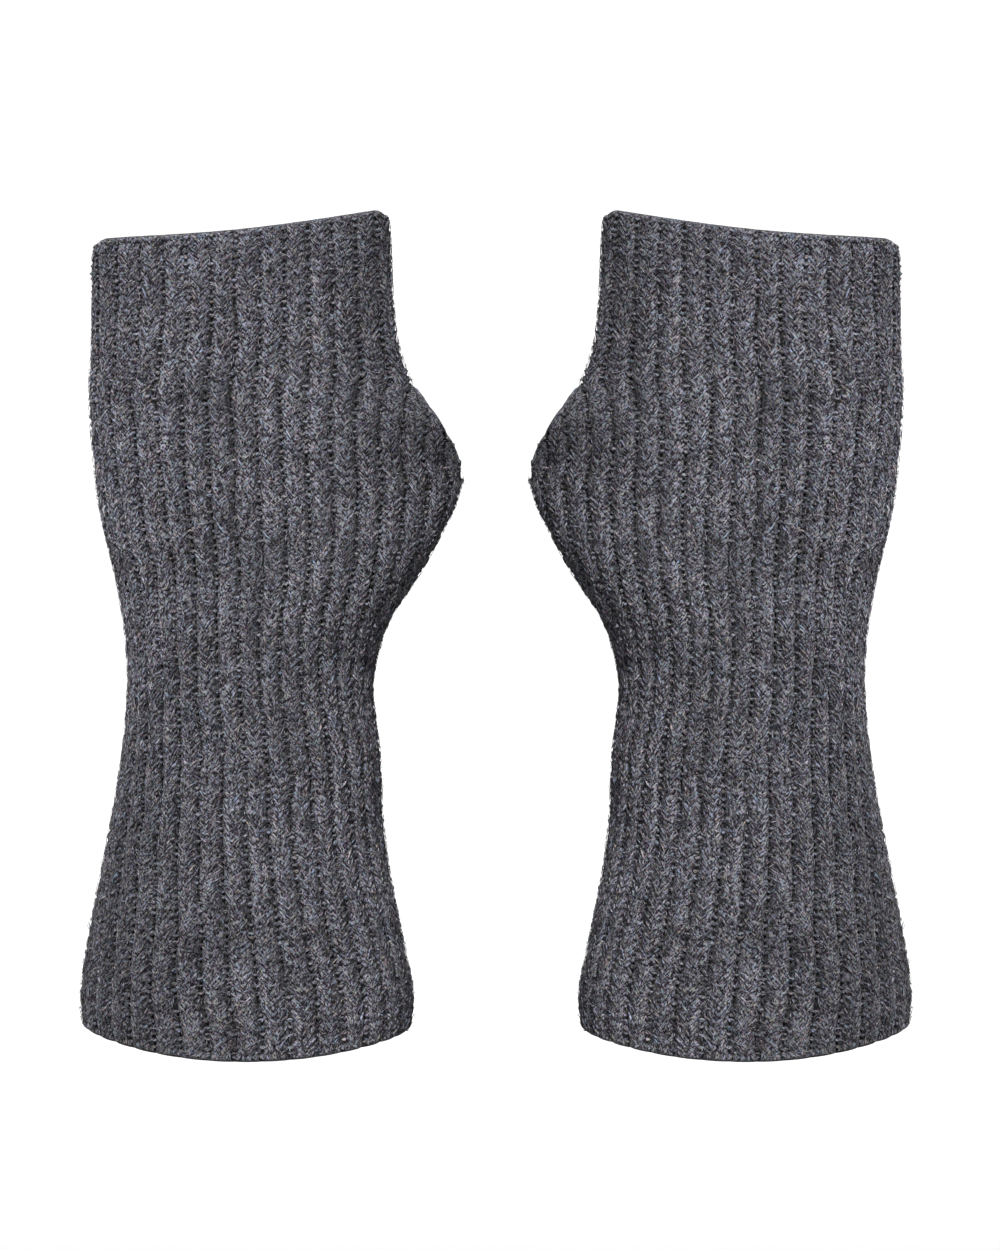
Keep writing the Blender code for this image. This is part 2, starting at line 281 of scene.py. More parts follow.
STITCH_WOOL = Wool("wool_stitches", (0.006, 0.108, 0.262), (-12, -38), (0.36, 0.36, 1.3))
FELT_WOOL = Wool("wool_felt", (0.005, 0.072, 0.240), (42, -42), (0.36, 0.36, 1.4))
LOOSE_WOOL = Wool("wool_fibres", (0.050, 0.125, 0.215), (0, 0), (0.5, 0.5, 2.0))

# Positions of the dark, the middle and the light wools on the noise, and their hues
RAMP_SPOTS = (0.43, 0.50, 0.58)
HUES = ((1.20, 0.70, 1.35), (1.02, 0.955, 1.175), (0.96, 0.995, 1.12))
HUE_GRAIN = 1.5                 # patches of hue in a millimetre of fibre
HUE_SWING = (1.3, 0.2, 1.3)     # how far they change the red, the green and the blue

# The studio's floor, which bends up into its wall, and the light from all round
FLOOR_HEIGHT = -0.32
FLOOR_FRONT = -2.5
WALL_DISTANCE = 1.3
WALL_TOP = 3.0
BEND_RADIUS = 0.35
STUDIO_SIDE = 3.0
AMBIENT_LIGHT = 0.27

# Suns.  lit is the collection that a sun lights, spread is in degrees, and direction is
# where it stands.  The gloves are each other's mirror image, and so is the light on them.
Sun = namedtuple("Sun", "name lit strength spread direction")

SUNS = [
    Sun("left_key", "left", 4.8, 10, (-0.20, -1.0, 0.80)),
    Sun("right_key", "right", 4.8, 10, (0.20, -1.0, 0.80)),
    Sun("left_fill", "left", 1.5, 60, (0.9, -0.35, -0.25)),
    Sun("right_fill", "right", 1.5, 60, (-0.9, -0.35, -0.25)),
    Sun("backdrop_key", "stage", 3.5, 60, (0.0, -1.0, 0.6)),
]

# Camera, level with the middle of the gloves' height
CAMERA_PLACE = (1.0 * MM, -1.0, 16.4 * MM)
PICTURE_HEIGHT = 0.31625        # what the picture spans, a metre from the camera
SENSOR_HEIGHT = 36.0


def smooth_column(rows, name, heights):
    """One column of a table at an array of heights, on a smooth curve through the rows."""
    knots = np.array([row.height for row in rows]) * MM
    values = np.array([getattr(row, name) for row in rows])
    slopes = np.gradient(values, knots)
    i = np.clip(np.searchsorted(knots, heights) - 1, 0, len(knots) - 2)
    span = knots[i + 1] - knots[i]
    t = (heights - knots[i]) / span
    ease = t * t * (3 - 2 * t)
    start = t * (1 - t) ** 2 * span * slopes[i]
    end = t * t * (t - 1) * span * slopes[i + 1]
    return values[i] + (values[i + 1] - values[i]) * ease + start + end


def section_column(name):
    """One column of the two section tables on LEVELS."""
    low = smooth_column(CUFF_TO_TIP, name, LEVELS)
    high = smooth_column(TIP_TO_FINGERS, name, LEVELS)
    return np.where(LEVELS < TIP_HEIGHT, low, high)


OUTER, THUMB, DEPTH, SETBACK = [section_column(name) * MM for name in Section._fields[1:5]]
SQUARE, PINCH, LEAD = [section_column(name) for name in Section._fields[5:]]


def ended_ribs():
    """Ribs that have ended on each side of the thumb opening, on LEVELS."""
    tip, crotch = np.interp([TIP_HEIGHT, CROTCH_HEIGHT], LEVELS, THUMB)
    ended = THUMB_RIBS * (THUMB - tip) / (crotch - tip)
    ended = np.where(LEVELS <= TIP_HEIGHT, 0.0, ended)
    return np.where(LEVELS >= CROTCH_HEIGHT, THUMB_RIBS, ended)


def half_gaps():
    """Half the gap between the rims of the thumb opening, on LEVELS."""
    way = np.clip((LEVELS - TIP_HEIGHT) / (CROTCH_HEIGHT - TIP_HEIGHT), 0, 1)
    gap = 0.5 * THUMB_GAPE * np.abs(np.sin(math.pi * way)) ** GAPE_ROUNDNESS
    return np.where((LEVELS > TIP_HEIGHT) & (LEVELS < CROTCH_HEIGHT), gap, 0.0)


ENDED = ended_ribs()
HALF_GAP = half_gaps()


def power(values, exponent):
    """Signed power, which turns a circle's cosine and sine into a squarer oval's."""
    return np.sign(values) * np.abs(values) ** exponent


def oval(k):
    """Evenly spaced points of the section at level k, from the front thumb rim round."""
    bend = 2 / SQUARE[k]
    rim_depth = DEPTH[k] / 2 * (1 - PINCH[k])
    first = math.asin((HALF_GAP[k] / rim_depth) ** (1 / bend))
    angles = np.linspace(first, 2 * math.pi - first, ARC_STEPS + 1)
    reach = power(np.cos(angles), bend)
    half_width = (OUTER[k] - THUMB[k]) / (1 + reach[0])
    across = half_width * (1 + reach) - OUTER[k]
    thin = 1 - PINCH[k] * ((1 + reach) / 2) ** 2
    deep = SETBACK[k] - DEPTH[k] / 2 * power(np.sin(angles), bend) * thin
    way = np.concatenate([[0.0], np.cumsum(np.hypot(np.diff(across), np.diff(deep)))])
    even = np.linspace(0, way[-1], ARC_STEPS + 1)
    return np.stack([np.interp(even, way, across), np.interp(even, way, deep)], axis=1)


OVALS = np.stack([oval(k) for k in range(len(LEVELS))])


def rim_stretch():
    """How much the cloth is stretched beside the thumb opening, on LEVELS."""
    arcs = np.linalg.norm(np.diff(OVALS, axis=1), axis=2).sum(axis=1)
    pitch = arcs / (RIBS - 2 * ENDED)
    ends = [TIP_HEIGHT, EVEN_HEIGHT]
    plain = np.interp(LEVELS, ends, np.interp(ends, LEVELS, pitch))
    beside = (LEVELS > TIP_HEIGHT) & (LEVELS < EVEN_HEIGHT)
    return np.where(beside, 1 - plain / pitch, 0.0)


STRETCH = rim_stretch()


def on_levels(column, height):
    """A column kept on LEVELS, at an array of heights."""
    return np.interp(height, LEVELS, column)


def cells(grid, rib, height):
    """A grid of values round and up the tube, read smoothly at places on the cloth."""
    rows, columns = grid.shape
    up = np.clip((height - LEVELS[0]) / (LEVELS[-1] - LEVELS[0]), 0, 0.9999) * (rows - 1)
    along = (rib % RIBS) / RIBS * columns
    k, j = up.astype(int), along.astype(int)
    v, u = up - k, along - j
    v, u = v * v * (3 - 2 * v), u * u * (3 - 2 * u)
    j, after = j % columns, (j + 1) % columns
    low = grid[k, j] * (1 - u) + grid[k, after] * u
    high = grid[k + 1, j] * (1 - u) + grid[k + 1, after] * u
    return low * (1 - v) + high * v


def unit(vectors):
    """The vectors at length one."""
    return vectors / np.maximum(np.linalg.norm(vectors, axis=-1, keepdims=True), 1e-12)


def crease_depth(rib, height):
    """How far the creases sink the cloth."""
    depth = np.zeros(np.shape(rib))
    for crease in CREASES:
        along = (rib - crease.rib + RIBS / 2) % RIBS - RIBS / 2
        above = height / MM - crease.height - crease.slope * along
        fade = (along / crease.length) ** 2 + (above / crease.width) ** 2
        depth = depth + crease.depth * MM * np.exp(-fade)
    return depth


def arc_share(rib, height):
    """Where a rib lies on its section, from 0 at the front thumb rim to 1 at the back one."""
    ended = on_levels(ENDED, height)
    share = (rib - ended - on_levels(LEAD, height)) / (RIBS - 2 * ended)
    in_slit = (height > TIP_HEIGHT) & (height < CROTCH_HEIGHT)
    share = np.where(in_slit, np.clip(share, 0, 1), share % 1.0)
    side = 2 * share - 1
    crowding = side * (np.abs(side) ** (RIM_CROWDING - 1) - 1) / 2
    return share + on_levels(STRETCH, height) * crowding


def crest_point(rib, height):
    """Points on the crests of the ribs, at arrays of rib numbers and heights."""
    rib, height = np.broadcast_arrays(np.asarray(rib, float), np.asarray(height, float))
    sway = WAVER * np.sin(math.pi * rib / RIBS) ** 2
    rib = rib + sway * cells(WAVERS, rib, height)
    row = np.clip((height - LEVELS[0]) / LEVEL_STEP, 0, len(LEVELS) - 1.001)
    column = np.clip(arc_share(rib, height) * ARC_STEPS, 0, ARC_STEPS - 0.001)
    k, j = row.astype(int), column.astype(int)
    up, along = (row - k)[..., None], (column - j)[..., None]
    low = OVALS[k, j] * (1 - along) + OVALS[k, j + 1] * along
    high = OVALS[k + 1, j] * (1 - along) + OVALS[k + 1, j + 1] * along
    spot = low * (1 - up) + high * up
    middle = [-(on_levels(OUTER, height) + on_levels(THUMB, height)) / 2, on_levels(SETBACK, height)]
    inward = unit(np.stack(middle, axis=-1) - spot)
    spot = spot + inward * crease_depth(rib, height)[..., None]
    return np.concatenate([spot, height[..., None]], axis=-1)


def along_course(rib, height):
    """Short vectors across the ribs."""
    return crest_point(rib + HALF_STEP, height) - crest_point(rib - HALF_STEP, height)


def cloth_frame(rib, height):
    """Crest points with unit vectors across the ribs, up them, and out of the cloth."""
    across = along_course(rib, height)
    up = crest_point(rib, height + LEVEL_STEP) - crest_point(rib, height - LEVEL_STEP)
    out = unit(np.cross(up, across))
    across = unit(across)
    return crest_point(rib, height), across, np.cross(across, out), out


def signed_rib(rib):
    """Ribs from the seam, negative on the palm side."""
    return np.where(rib <= RIBS / 2, rib, rib - RIBS)


def place_across(rib, height):
    """Share of the way from the outer side to the thumb side, and of the half depth."""
    spot = crest_point(rib, np.full(np.shape(rib), height))
    outer, thumb, setback, depth = [
        on_levels(column, height) for column in (OUTER, THUMB, SETBACK, DEPTH)
    ]
    return (spot[..., 0] + outer) / (outer - thumb), 2 * (spot[..., 1] - setback) / depth


def hem_height(rib):
    """Height of the cuff hem on a rib."""
    share, deep = place_across(rib, HEM_OUTER)
    return HEM_OUTER + (HEM_THUMB - HEM_OUTER) * share - HEM_DIP * deep ** 2


def finger_height(rib):
    """Height of the finger edge on a rib."""
    share, _ = place_across(rib, FINGER_OUTER)
    share = np.clip(share, 0, 1)
    sag = FINGER_DIP * np.sin(math.pi * share)
    width = on_levels(OUTER - THUMB, FINGER_OUTER)
    past = 1 - np.minimum(np.minimum(share, 1 - share) * width / FINGER_CORNER, 1)
    corner = CORNER_DROP * FINGER_CORNER * past ** 2
    return FINGER_OUTER + (FINGER_THUMB - FINGER_OUTER) * share - sag - corner


def rim_height(rib):
    """Where the thumb opening cuts a rib, and the height of its crotch elsewhere."""
    slit = (LEVELS >= TIP_HEIGHT) & (LEVELS <= CROTCH_HEIGHT)
    return np.interp(np.abs(signed_rib(rib)), ENDED[slit], LEVELS[slit])


def top_height(rib):
    """Upper edge of the cloth on a rib: the thumb's rim, or the finger edge."""
    on_thumb = np.abs(signed_rib(rib)) < THUMB_RIBS
    return np.where(on_thumb, rim_height(rib), finger_height(rib))


def course_height(rib, course):
    """Height of a course on a rib.  Courses run level with the hem and the finger edge."""
    hand_rib = np.clip(rib % RIBS, THUMB_RIBS, RIBS - THUMB_RIBS)
    low = hem_height(rib)
    return low + (finger_height(hand_rib) - low) * course / COURSES


def thumb_way():
    """The way out of the thumb opening, square to its rim."""
    tip, crotch = crest_point(np.array([0.0, THUMB_RIBS]), np.array([TIP_HEIGHT, CROTCH_HEIGHT]))
    slant = unit(crotch - tip)
    return np.array([slant[2], 0.0, -slant[0]])


DOWN = np.array([0, 0, -1.0])
UP = np.array([0, 0, 1.0])
THUMB_WAY = thumb_way()


def openness(rib, height):
    """How open the knit is, from a closed felt (0) to a clear stitch (1) and over."""
    spread = 1 + OPENNESS_SPREAD * cells(OPENNESS, rib, height)
    return (smooth_column(LOOKS, "clear", height) * spread).clip(*OPENNESS_RANGE)


def rib_depth(rib, height):
    """How far the middle of the stitches lies inside the crests."""
    relief = RIB_RELIEF * smooth_column(LOOKS, "relief", height) * openness(rib, height)
    return relief * np.abs(np.cos(math.pi * rib)) ** VALLEY_SHARPNESS


def side_shade_and_mottle(rib, height):
    """Painted side light and shade, times uneven, slowly changing mottles of the heather."""
    outer = 0.5 - 0.5 * np.cos(2 * math.pi * rib / RIBS)
    # painted light and shade: the two sides lighter or darker as the key light falls on them
    outer_side_shading = smooth_column(LOOKS, "outer", height)
    thumb_side_shading = smooth_column(LOOKS, "thumb", height)
    side = np.where(outer > 0.5, outer_side_shading, thumb_side_shading)
    tone = 1 + (side - 1) * np.abs(2 * outer - 1) ** SIDE_SHADE_SHARPNESS
    for grid, strength in zip(MOTTLES, MOTTLE_STRENGTHS):
        tone = tone * (1 + strength * cells(grid, rib, height))
    return tone


def spindles(centres, wide, thick, out, sides):
    """Closed spindles, pointed at both ends, one for each row of centres.

    centres is (n, m, 3), wide and thick are half sizes (n, m - 2) at the rings between
    the two tips, and out is (n, m, 3), the way out of the cloth.  Gives points, faces,
    and each point's place in its spindle's own axes, in metres.
    """
    n, m, _ = centres.shape
    along = unit(np.gradient(centres, axis=1))
    side = unit(np.cross(along, out))
    top = np.cross(side, along)
    angle = math.pi / 2 + 2 * math.pi * np.arange(sides) / sides
    reach = wide[:, :, None] * np.cos(angle)
    rise = thick[:, :, None] * np.sin(angle)
    rings = centres[:, 1:-1, None] + side[:, 1:-1, None] * reach[..., None]
    rings = rings + top[:, 1:-1, None] * rise[..., None]
    points = np.concatenate(
        [centres[:, :1], rings.reshape(n, (m - 2) * sides, 3), centres[:, -1:]], axis=1
    )
    steps = np.linalg.norm(np.diff(centres, axis=1), axis=2)
    way = np.concatenate([np.zeros((n, 1)), np.cumsum(steps, axis=1)], axis=1)
    local = np.zeros_like(points)
    local[:, 1:-1, 0] = reach.reshape(n, -1)
    local[:, 1:-1, 1] = rise.reshape(n, -1)
    local[:, 1:-1, 2] = np.repeat(way[:, 1:-1], sides, axis=1)
    local[:, -1, 2] = way[:, -1]
    return points.reshape(-1, 3), spindle_faces(n, m - 2, sides), local.reshape(-1, 3)


def spindle_faces(count, rings, sides):
    """The triangles at the tips and the quads between the rings of a row of spindles."""
    per = rings * sides + 2
    ring = 1 + np.arange(rings)[:, None] * sides + np.arange(sides)
    after = np.roll(ring, -1, axis=1)
    start = np.stack([np.zeros(sides, int), after[0], ring[0]], axis=1)
    finish = np.stack([np.full(sides, per - 1), ring[-1], after[-1]], axis=1)
    bands = np.stack([ring[:-1], after[:-1], after[1:], ring[1:]], axis=-1).reshape(-1, 4)
    shift = (np.arange(count) * per)[:, None, None]
    tips = (np.concatenate([start, finish])[None] + shift).reshape(-1, 3)
    bands = (bands[None] + shift).reshape(-1, 4)
    return [tips, bands]


def own_place(local, count):
    """Places along the fibres in millimetres, shifted so that no two pieces look alike."""
    per = len(local) // count
    shift = random.uniform(0, 500, (count, 3))
    return local / MM + np.repeat(shift, per, axis=0)


def dyed(tone, per):
    """Colours of the points of pieces with per points each, from a tone for each piece."""
    hue = random.normal(0, HUE_SPREAD, len(tone))
    tint = tone[:, None] * np.stack([1 + hue, np.ones(len(tone)), 1 - hue], axis=1)
    return np.repeat(tint, per, axis=0)


def yarn(spindle_parts, tone):
    """Spindles as points, faces, places along their fibres, and colours."""
    points, faces, local = spindle_parts
    count = len(tone)
    return points, faces, own_place(local, count), dyed(tone, len(points) // count)


def join(parts):
    """Several (points, faces, place, tint) as one."""
    shift = np.cumsum([0] + [len(part[0]) for part in parts[:-1]])
    faces = [face + by for part, by in zip(parts, shift) for face in part[1]]
    points, place, tint = [np.concatenate([part[i] for part in parts]) for i in (0, 2, 3)]
    return points, faces, place, tint


def stitch_grid(courses):
    """Arrays of every rib number with every one of the courses."""
    rib, course = np.meshgrid(np.arange(RIBS), courses, indexing="ij")
    return rib.ravel(), course.ravel()


def keep_inside(rib, ribs, heights):
    """Heights held between the raw edges, and which pieces keep enough of their length."""
    own = np.clip(ribs, rib[:, None] + 0.01, rib[:, None] + 0.99)
    low = hem_height(own) - EDGE_REACH
    high = top_height(own) + EDGE_REACH
    held = np.clip(heights, low, high)
    kept = (np.ptp(held, axis=1) > LEAST_LEFT * np.ptp(heights, axis=1)) & (high > low).all(axis=1)
    return held, kept


def seen_inside(rib, height):
    """Whether a place on the inside of the cloth can be seen through an opening."""
    by_fingers = height > finger_height(rib) - INSIDE_REACH
    by_hem = height < hem_height(rib) + INSIDE_REACH
    by_thumb = np.abs(signed_rib(rib)) < INSIDE_RIBS
    by_thumb = by_thumb & (height > TIP_HEIGHT - INSIDE_REACH / 2)
    return by_fingers | by_hem | by_thumb


def leg_lines(leg, steps):
    """The rib of one leg of every V, and its rib numbers and heights down the leg."""
    rib, course = stitch_grid(np.arange(COURSES))
    count = len(rib)
    start = leg.start + random.normal(0, START_SPREAD, (count, 1))
    end = leg.end + random.normal(0, END_SPREAD, (count, 1))
    ribs = rib[:, None] + start * (1 - steps) + end * steps
    rise = leg.rise * MM * random.normal(1, RISE_SPREAD, (count, 1)).clip(*RISE_RANGE)
    foot = course_height(rib + leg.end, course) + random.normal(0, FOOT_SPREAD, count)
    heights = foot[:, None] + rise * (1 - steps + LEG_ARCH * np.sin(math.pi * steps))
    return rib, ribs, heights


def knit_legs(leg, inside=False):
    """One leg of every V of the left glove, on the outside or near its openings inside."""
    steps = np.concatenate([[0.0], np.linspace(*LEG_RINGS, leg.rings), [1.0]])
    rib, ribs, heights = leg_lines(leg, steps)
    heights, kept = keep_inside(rib, ribs, heights)
    if inside:
        kept &= seen_inside(ribs[:, 0], heights.mean(axis=1))
    ribs, heights = ribs[kept], heights[kept]
    count = len(ribs)
    spot, _, _, out = cloth_frame(ribs, heights)
    sink = leg.thickness * MM / 2 + FOOT_SINK * steps ** 4
    sink = sink + random.normal(0, SINK_SPREAD, (count, 1))
    sink = WALL + INSIDE_LIFT - sink if inside else rib_depth(ribs, heights) + sink
    centres = spot - out * sink[..., None]
    size = random.normal(1, LEG_SIZE_SPREAD, (count, 1))
    size = size * np.interp(steps[1:-1], [0, 0.5, 1], LEG_SIZES)
    wide, thick = leg.width * MM / 2 * size, leg.thickness * MM / 2 * size
    middle = heights.mean(axis=1)
    clear = openness(ribs[:, 1], middle)
    uneven = 1 + random.normal(0, LEG_TONE_SPREAD, count) * clear
    tone = leg.tone * side_shade_and_mottle(ribs[:, 1], middle) * uneven
    return yarn(spindles(centres, wide, thick, out, leg.sides), tone)


def purl_bars():
    """The purl bumps in the valleys of the left glove."""
    rib, course = stitch_grid(np.arange(COURSES) + 0.5)
    steps = np.array([-1.0, 0.0, 1.0])
    reach = np.where(rib == 0, SEAM_REACH, BAR_REACH)[:, None]
    ribs = rib[:, None] + reach * steps
    heights = course_height(rib % RIBS, course)[:, None] + BAR_SAG * steps ** 2
    heights = heights + random.normal(0, BAR_HEIGHT_SPREAD, (len(rib), 1))
    low = hem_height(ribs % RIBS)
    high = top_height(ribs % RIBS)
    kept = ((heights > low) & (heights < high)).all(axis=1)
    valley = rib[kept][:, None] + np.zeros(3)
    ribs, heights = ribs[kept], heights[kept]
    count = len(ribs)
    spot, _, _, out = cloth_frame(ribs, heights)
    lost = random.uniform(0, 1, count) < HOLE_SHARE
    sink = BAR_DEPTH + BAR_DEPTH_SPREAD * random.normal(0, 1, count) + BAR_LOSS * lost
    sink = rib_depth(valley, heights) + sink[:, None]
    centres = spot - out * sink[..., None]
    size = BAR_WIDTH / 2 * random.normal(1, BAR_SIZE_SPREAD, (count, 1))
    # painted shade: the sunken bars are darkened to stand for their holes
    tone = np.where(lost, HOLE_SHADE_TONE, BAR_TONE) * side_shade_and_mottle(ribs[:, 0], heights[:, 0])
    tone = tone * random.normal(1, BAR_TONE_SPREAD, count)
    return yarn(spindles(centres, size, size, out, 4), tone)


def edge_loops(ribs, edge, way):
    """Loops that go over a raw edge, from the outside to the inside of the cloth."""
    count = len(ribs)
    across, inward, depth = np.array(LOOP).T
    rib = ribs[:, None] + across + random.normal(0, LOOP_RIB_SPREAD, (count, 1))
    height = edge[:, None] - np.sign(way[2]) * inward * MM
    spot, _, _, out = cloth_frame(rib, np.where(inward > 0, height, edge[:, None]))
    centres = spot - out * (depth * MM)[:, None]
    past = EDGE_LIP - LOOP_SINK + random.normal(0, LOOP_SINK_SPREAD, (count, 1))
    centres[:, 2] += way * past
    size = random.normal(1, LOOP_SIZE_SPREAD, (count, 1)) * np.ones(2)
    wide, thick = LOOP_WIDTH / 2 * abs(way[2]) * size, LOOP_THICKNESS / 2 * size
    tone = LOOP_TONE * side_shade_and_mottle(ribs, edge) * random.normal(1, LOOP_TONE_SPREAD, count)
    return yarn(spindles(centres, wide, thick, out, 4), tone)


def raw_edges():
    """The loops along the hem, the finger edge and the rim of the thumb opening."""
    hem = np.arange(0, RIBS, 1 / LOOPS_PER_RIB)
    fingers = hem[(hem >= THUMB_RIBS) & (hem <= RIBS - THUMB_RIBS)]
    side = np.arange(RIM_LOOP_RIBS[1], RIM_LOOP_RIBS[0], -0.5 / LOOPS_PER_RIB)
    thumb = np.concatenate([-side, side]) % RIBS
    return [
        edge_loops(hem, hem_height(hem), DOWN),
        edge_loops(fingers, finger_height(fingers), UP),
        edge_loops(thumb, rim_height(thumb), THUMB_WAY),
    ]


def fibre_ribs(count):
    """Rib numbers of fibres, with the right share of them over the first legs."""
    split = LEGS[0].end
    over_first = random.uniform(0, 1, count) < OVER_FIRST_LEGS
    within = random.uniform(0, 1, count)
    within = np.where(over_first, split + (1 - split) * within, split * within)
    return random.integers(0, RIBS, count) + within


def strands(kind):
    """Fibres of one kind, most of them along the legs that they come from."""
    rib = fibre_ribs(kind.count)
    low = hem_height(rib)
    height = low + random.uniform(0, 1, kind.count) * (FINGER_THUMB - low.min())
    length = random.uniform(kind.shortest, kind.longest, kind.count) * MM
    lean = np.radians(np.interp(rib % 1.0, FIBRE_PLACES, FIBRE_LEANS))
    lean = lean + random.normal(0, math.radians(kind.spread), kind.count)
    reach = length / 2 * np.abs(np.cos(lean)) - EDGE_REACH
    cover = FELTED_COVER - OPEN_LOSS * openness(rib, height)
    kept = (height < top_height(rib) - reach) & (height > low + reach)
    kept &= random.uniform(0, 1, kind.count) < cover
    rib, height, length, lean = rib[kept], height[kept], length[kept, None], lean[kept]
    count = len(rib)
    steps = np.linspace(-0.5, 0.5, kind.points)
    turn = lean[:, None] + random.normal(0, math.radians(kind.curl), (count, 1)) * steps
    spot, across, up, out = cloth_frame(rib, height)
    go = across[:, None] * np.sin(turn)[..., None] + up[:, None] * np.cos(turn)[..., None]
    centres = spot[:, None] + go * (steps * length)[..., None]
    lift = kind.lift * MM * smooth_column(LOOKS, "fuzz", height)[:, None]
    rise = lift * random.uniform(*FIBRE_ENDS, (count, 1)) * (0.5 + steps)
    outs = np.repeat(out[:, None], len(steps), axis=1)
    centres = centres + outs * (rise - FIBRE_SINK * rib_depth(rib, height)[:, None])[..., None]
    width = random.uniform(kind.thinnest, kind.thickest, (count, 1)) * MM / 2
    width = width * np.ones(kind.points - 2)
    tone = np.where(random.uniform(0, 1, count) < DARK_SHARE, DARK_TONE, GREY_TONE)
    tone = (tone * np.exp(random.normal(0, kind.tones, count))).clip(*TONE_RANGE)
    tone = tone * side_shade_and_mottle(rib, height)
    return yarn(spindles(centres, width, width * FIBRE_FLATNESS, outs, 3), tone)


def outer_depth(rib, height):
    """Depth of the shell's outside below the crests, with a groove in each valley."""
    groove = GROOVE_DEPTH * (rib % 1.0 == 0) * openness(rib, height).clip(0, 1)
    return rib_depth(rib, height) + FELT_DEPTH + groove


def inner_depth(rib, height):
    """Depth of the shell's inside below the crests."""
    return WALL - INNER_RELIEF * np.sin(math.pi * rib) ** 2 + 0 * height


def felt_tone(rib, height, shaded):
    """Tone of the shell, with painted shade in its holes and on one flank of each rib if shaded."""
    # painted shade in the holes between the purl bumps and on the flank that the key light falls on
    painted_shade = 1 - np.interp(rib % 1.0, GROOVE, GROOVE_SHADE_TONES)
    return side_shade_and_mottle(rib, height) * (1 - painted_shade * openness(rib, height).clip(0, 1) * shaded)


def skin_points(rib, height, depth_of):
    """Points of one side of the shell, sunk level into the cloth."""
    level = along_course(rib, height)
    inward = np.stack([level[..., 1], -level[..., 0], 0 * height], axis=-1)
    return crest_point(rib, height) + unit(inward) * depth_of(rib, height)[..., None]


def ring_quads(low, high, flip):
    """Quads between closed rows of point numbers."""
    corners = [low, np.roll(low, -1, axis=-1), np.roll(high, -1, axis=-1), high]
    quads = np.stack(corners, axis=-1).reshape(-1, 4)
    return quads[:, ::-1] if flip else quads


def skin(depth_of, outward, lower_rows, upper_rows):
    """One side of the shell: points, quads, its three edges' point numbers, and tones."""
    ribs = (np.arange(RIBS)[:, None] + GROOVE).ravel()
    first, last = THUMB_RIBS * len(GROOVE), (RIBS - THUMB_RIBS) * len(GROOVE)
    up = np.linspace(0, 1, lower_rows + 1)[:, None]
    low = hem_height(ribs) * (1 - up) + rim_height(ribs) * up
    hand = ribs[first:last]
    up = np.linspace(0, 1, upper_rows + 1)[1:, None]
    high = CROTCH_HEIGHT * (1 - up) + finger_height(hand) * up
    points, tones = [], []
    for rib, height in ((ribs, low), (hand, high)):
        rib = np.broadcast_to(rib, height.shape)
        points.append(skin_points(rib, height, depth_of).reshape(-1, 3))
        tones.append(felt_tone(rib, height, outward).ravel())
    number = np.arange(low.size).reshape(low.shape)
    number[-1, last] = number[-1, first]
    upper = low.size + np.arange(high.size).reshape(high.shape)
    crotch = np.vstack([number[-1, first:last], upper[:-1]])
    quads = [ring_quads(number[:-1], number[1:], outward), ring_quads(crotch, upper, outward)]
    thumb = np.concatenate([number[-1, last:], number[-1, :first]])
    edges = [number[0], upper[-1], thumb]
    return np.concatenate(points), np.concatenate(quads), edges, np.concatenate(tones)


def shell():
    """The closed shell of the left glove: ribbed outside, ribbed inside, rounded rims."""
    outer, outer_faces, outer_edges, outer_tones = skin(
        outer_depth, outward=True, lower_rows=60, upper_rows=16
    )
    inner, inner_faces, inner_edges, inner_tones = skin(
        inner_depth, outward=False, lower_rows=24, upper_rows=6
    )
    points = [outer, inner]
    faces = [outer_faces, inner_faces + len(outer)]
    count = len(outer) + len(inner)
    rims = zip(outer_edges, inner_edges, (DOWN, UP, THUMB_WAY), (False, True, True))
    for outside, inside, way, flip in rims:
        lip = (outer[outside] + inner[inside]) / 2 + way * EDGE_LIP
        numbers = count + np.arange(len(lip))
        points.append(lip)
        faces.append(ring_quads(outside, numbers, flip))
        faces.append(ring_quads(numbers, inside + len(outer), flip))
        count += len(lip)
    points = np.concatenate(points)
    # painted shade on the rims' lips, which face the key light
    rim_shade_tones = np.full(len(points) - len(outer) - len(inner), RIM_SHADE_TONE)
    tone = np.concatenate([outer_tones, inner_tones, rim_shade_tones])
    return points, faces, points / MM, np.repeat(tone[:, None], 3, axis=1)


def make_object(name, parts, material, mirror):
    """A smooth mesh object from (points, faces, place, tint), mirrored for the right glove."""
    points, faces, place, tint = parts
    points = np.array(points, np.float32)
    if mirror:
        points[:, 0] *= -1
        faces = [face[:, ::-1] for face in faces]
    corners = np.concatenate([face.ravel() for face in faces])
    sizes = np.concatenate([np.full(len(face), face.shape[1]) for face in faces])
    mesh = bpy.data.meshes.new(name)
    mesh.vertices.add(len(points))
    mesh.vertices.foreach_set("co", points.ravel())
    mesh.loops.add(len(corners))
    mesh.loops.foreach_set("vertex_index", corners.astype(np.int32))
    mesh.polygons.add(len(sizes))
    starts = np.concatenate([[0], np.cumsum(sizes)[:-1]])
    mesh.polygons.foreach_set("loop_start", starts.astype(np.int32))
    mesh.update(calc_edges=True)
    mesh.validate()
    mesh.shade_smooth()
    for key, values in (("fibre", place), ("tint", tint)):
        layer = mesh.attributes.new(key, "FLOAT_VECTOR", "POINT")
        layer.data.foreach_set("vector", values.astype(np.float32).ravel())
    mesh.materials.append(material)
    return bpy.data.objects.new(name, mesh)


def attribute(nodes, name):
    """A mesh attribute, as a vector."""
    node = nodes.new("ShaderNodeAttribute")
    node.attribute_name = name
    return node.outputs["Vector"]


def product(nodes, links, first, second):
    """Two vectors multiplied."""
    node = nodes.new("ShaderNodeVectorMath")
    node.operation = "MULTIPLY"
    links.new(first, node.inputs[0])
    links.new(second, node.inputs[1])
    return node.outputs["Vector"]


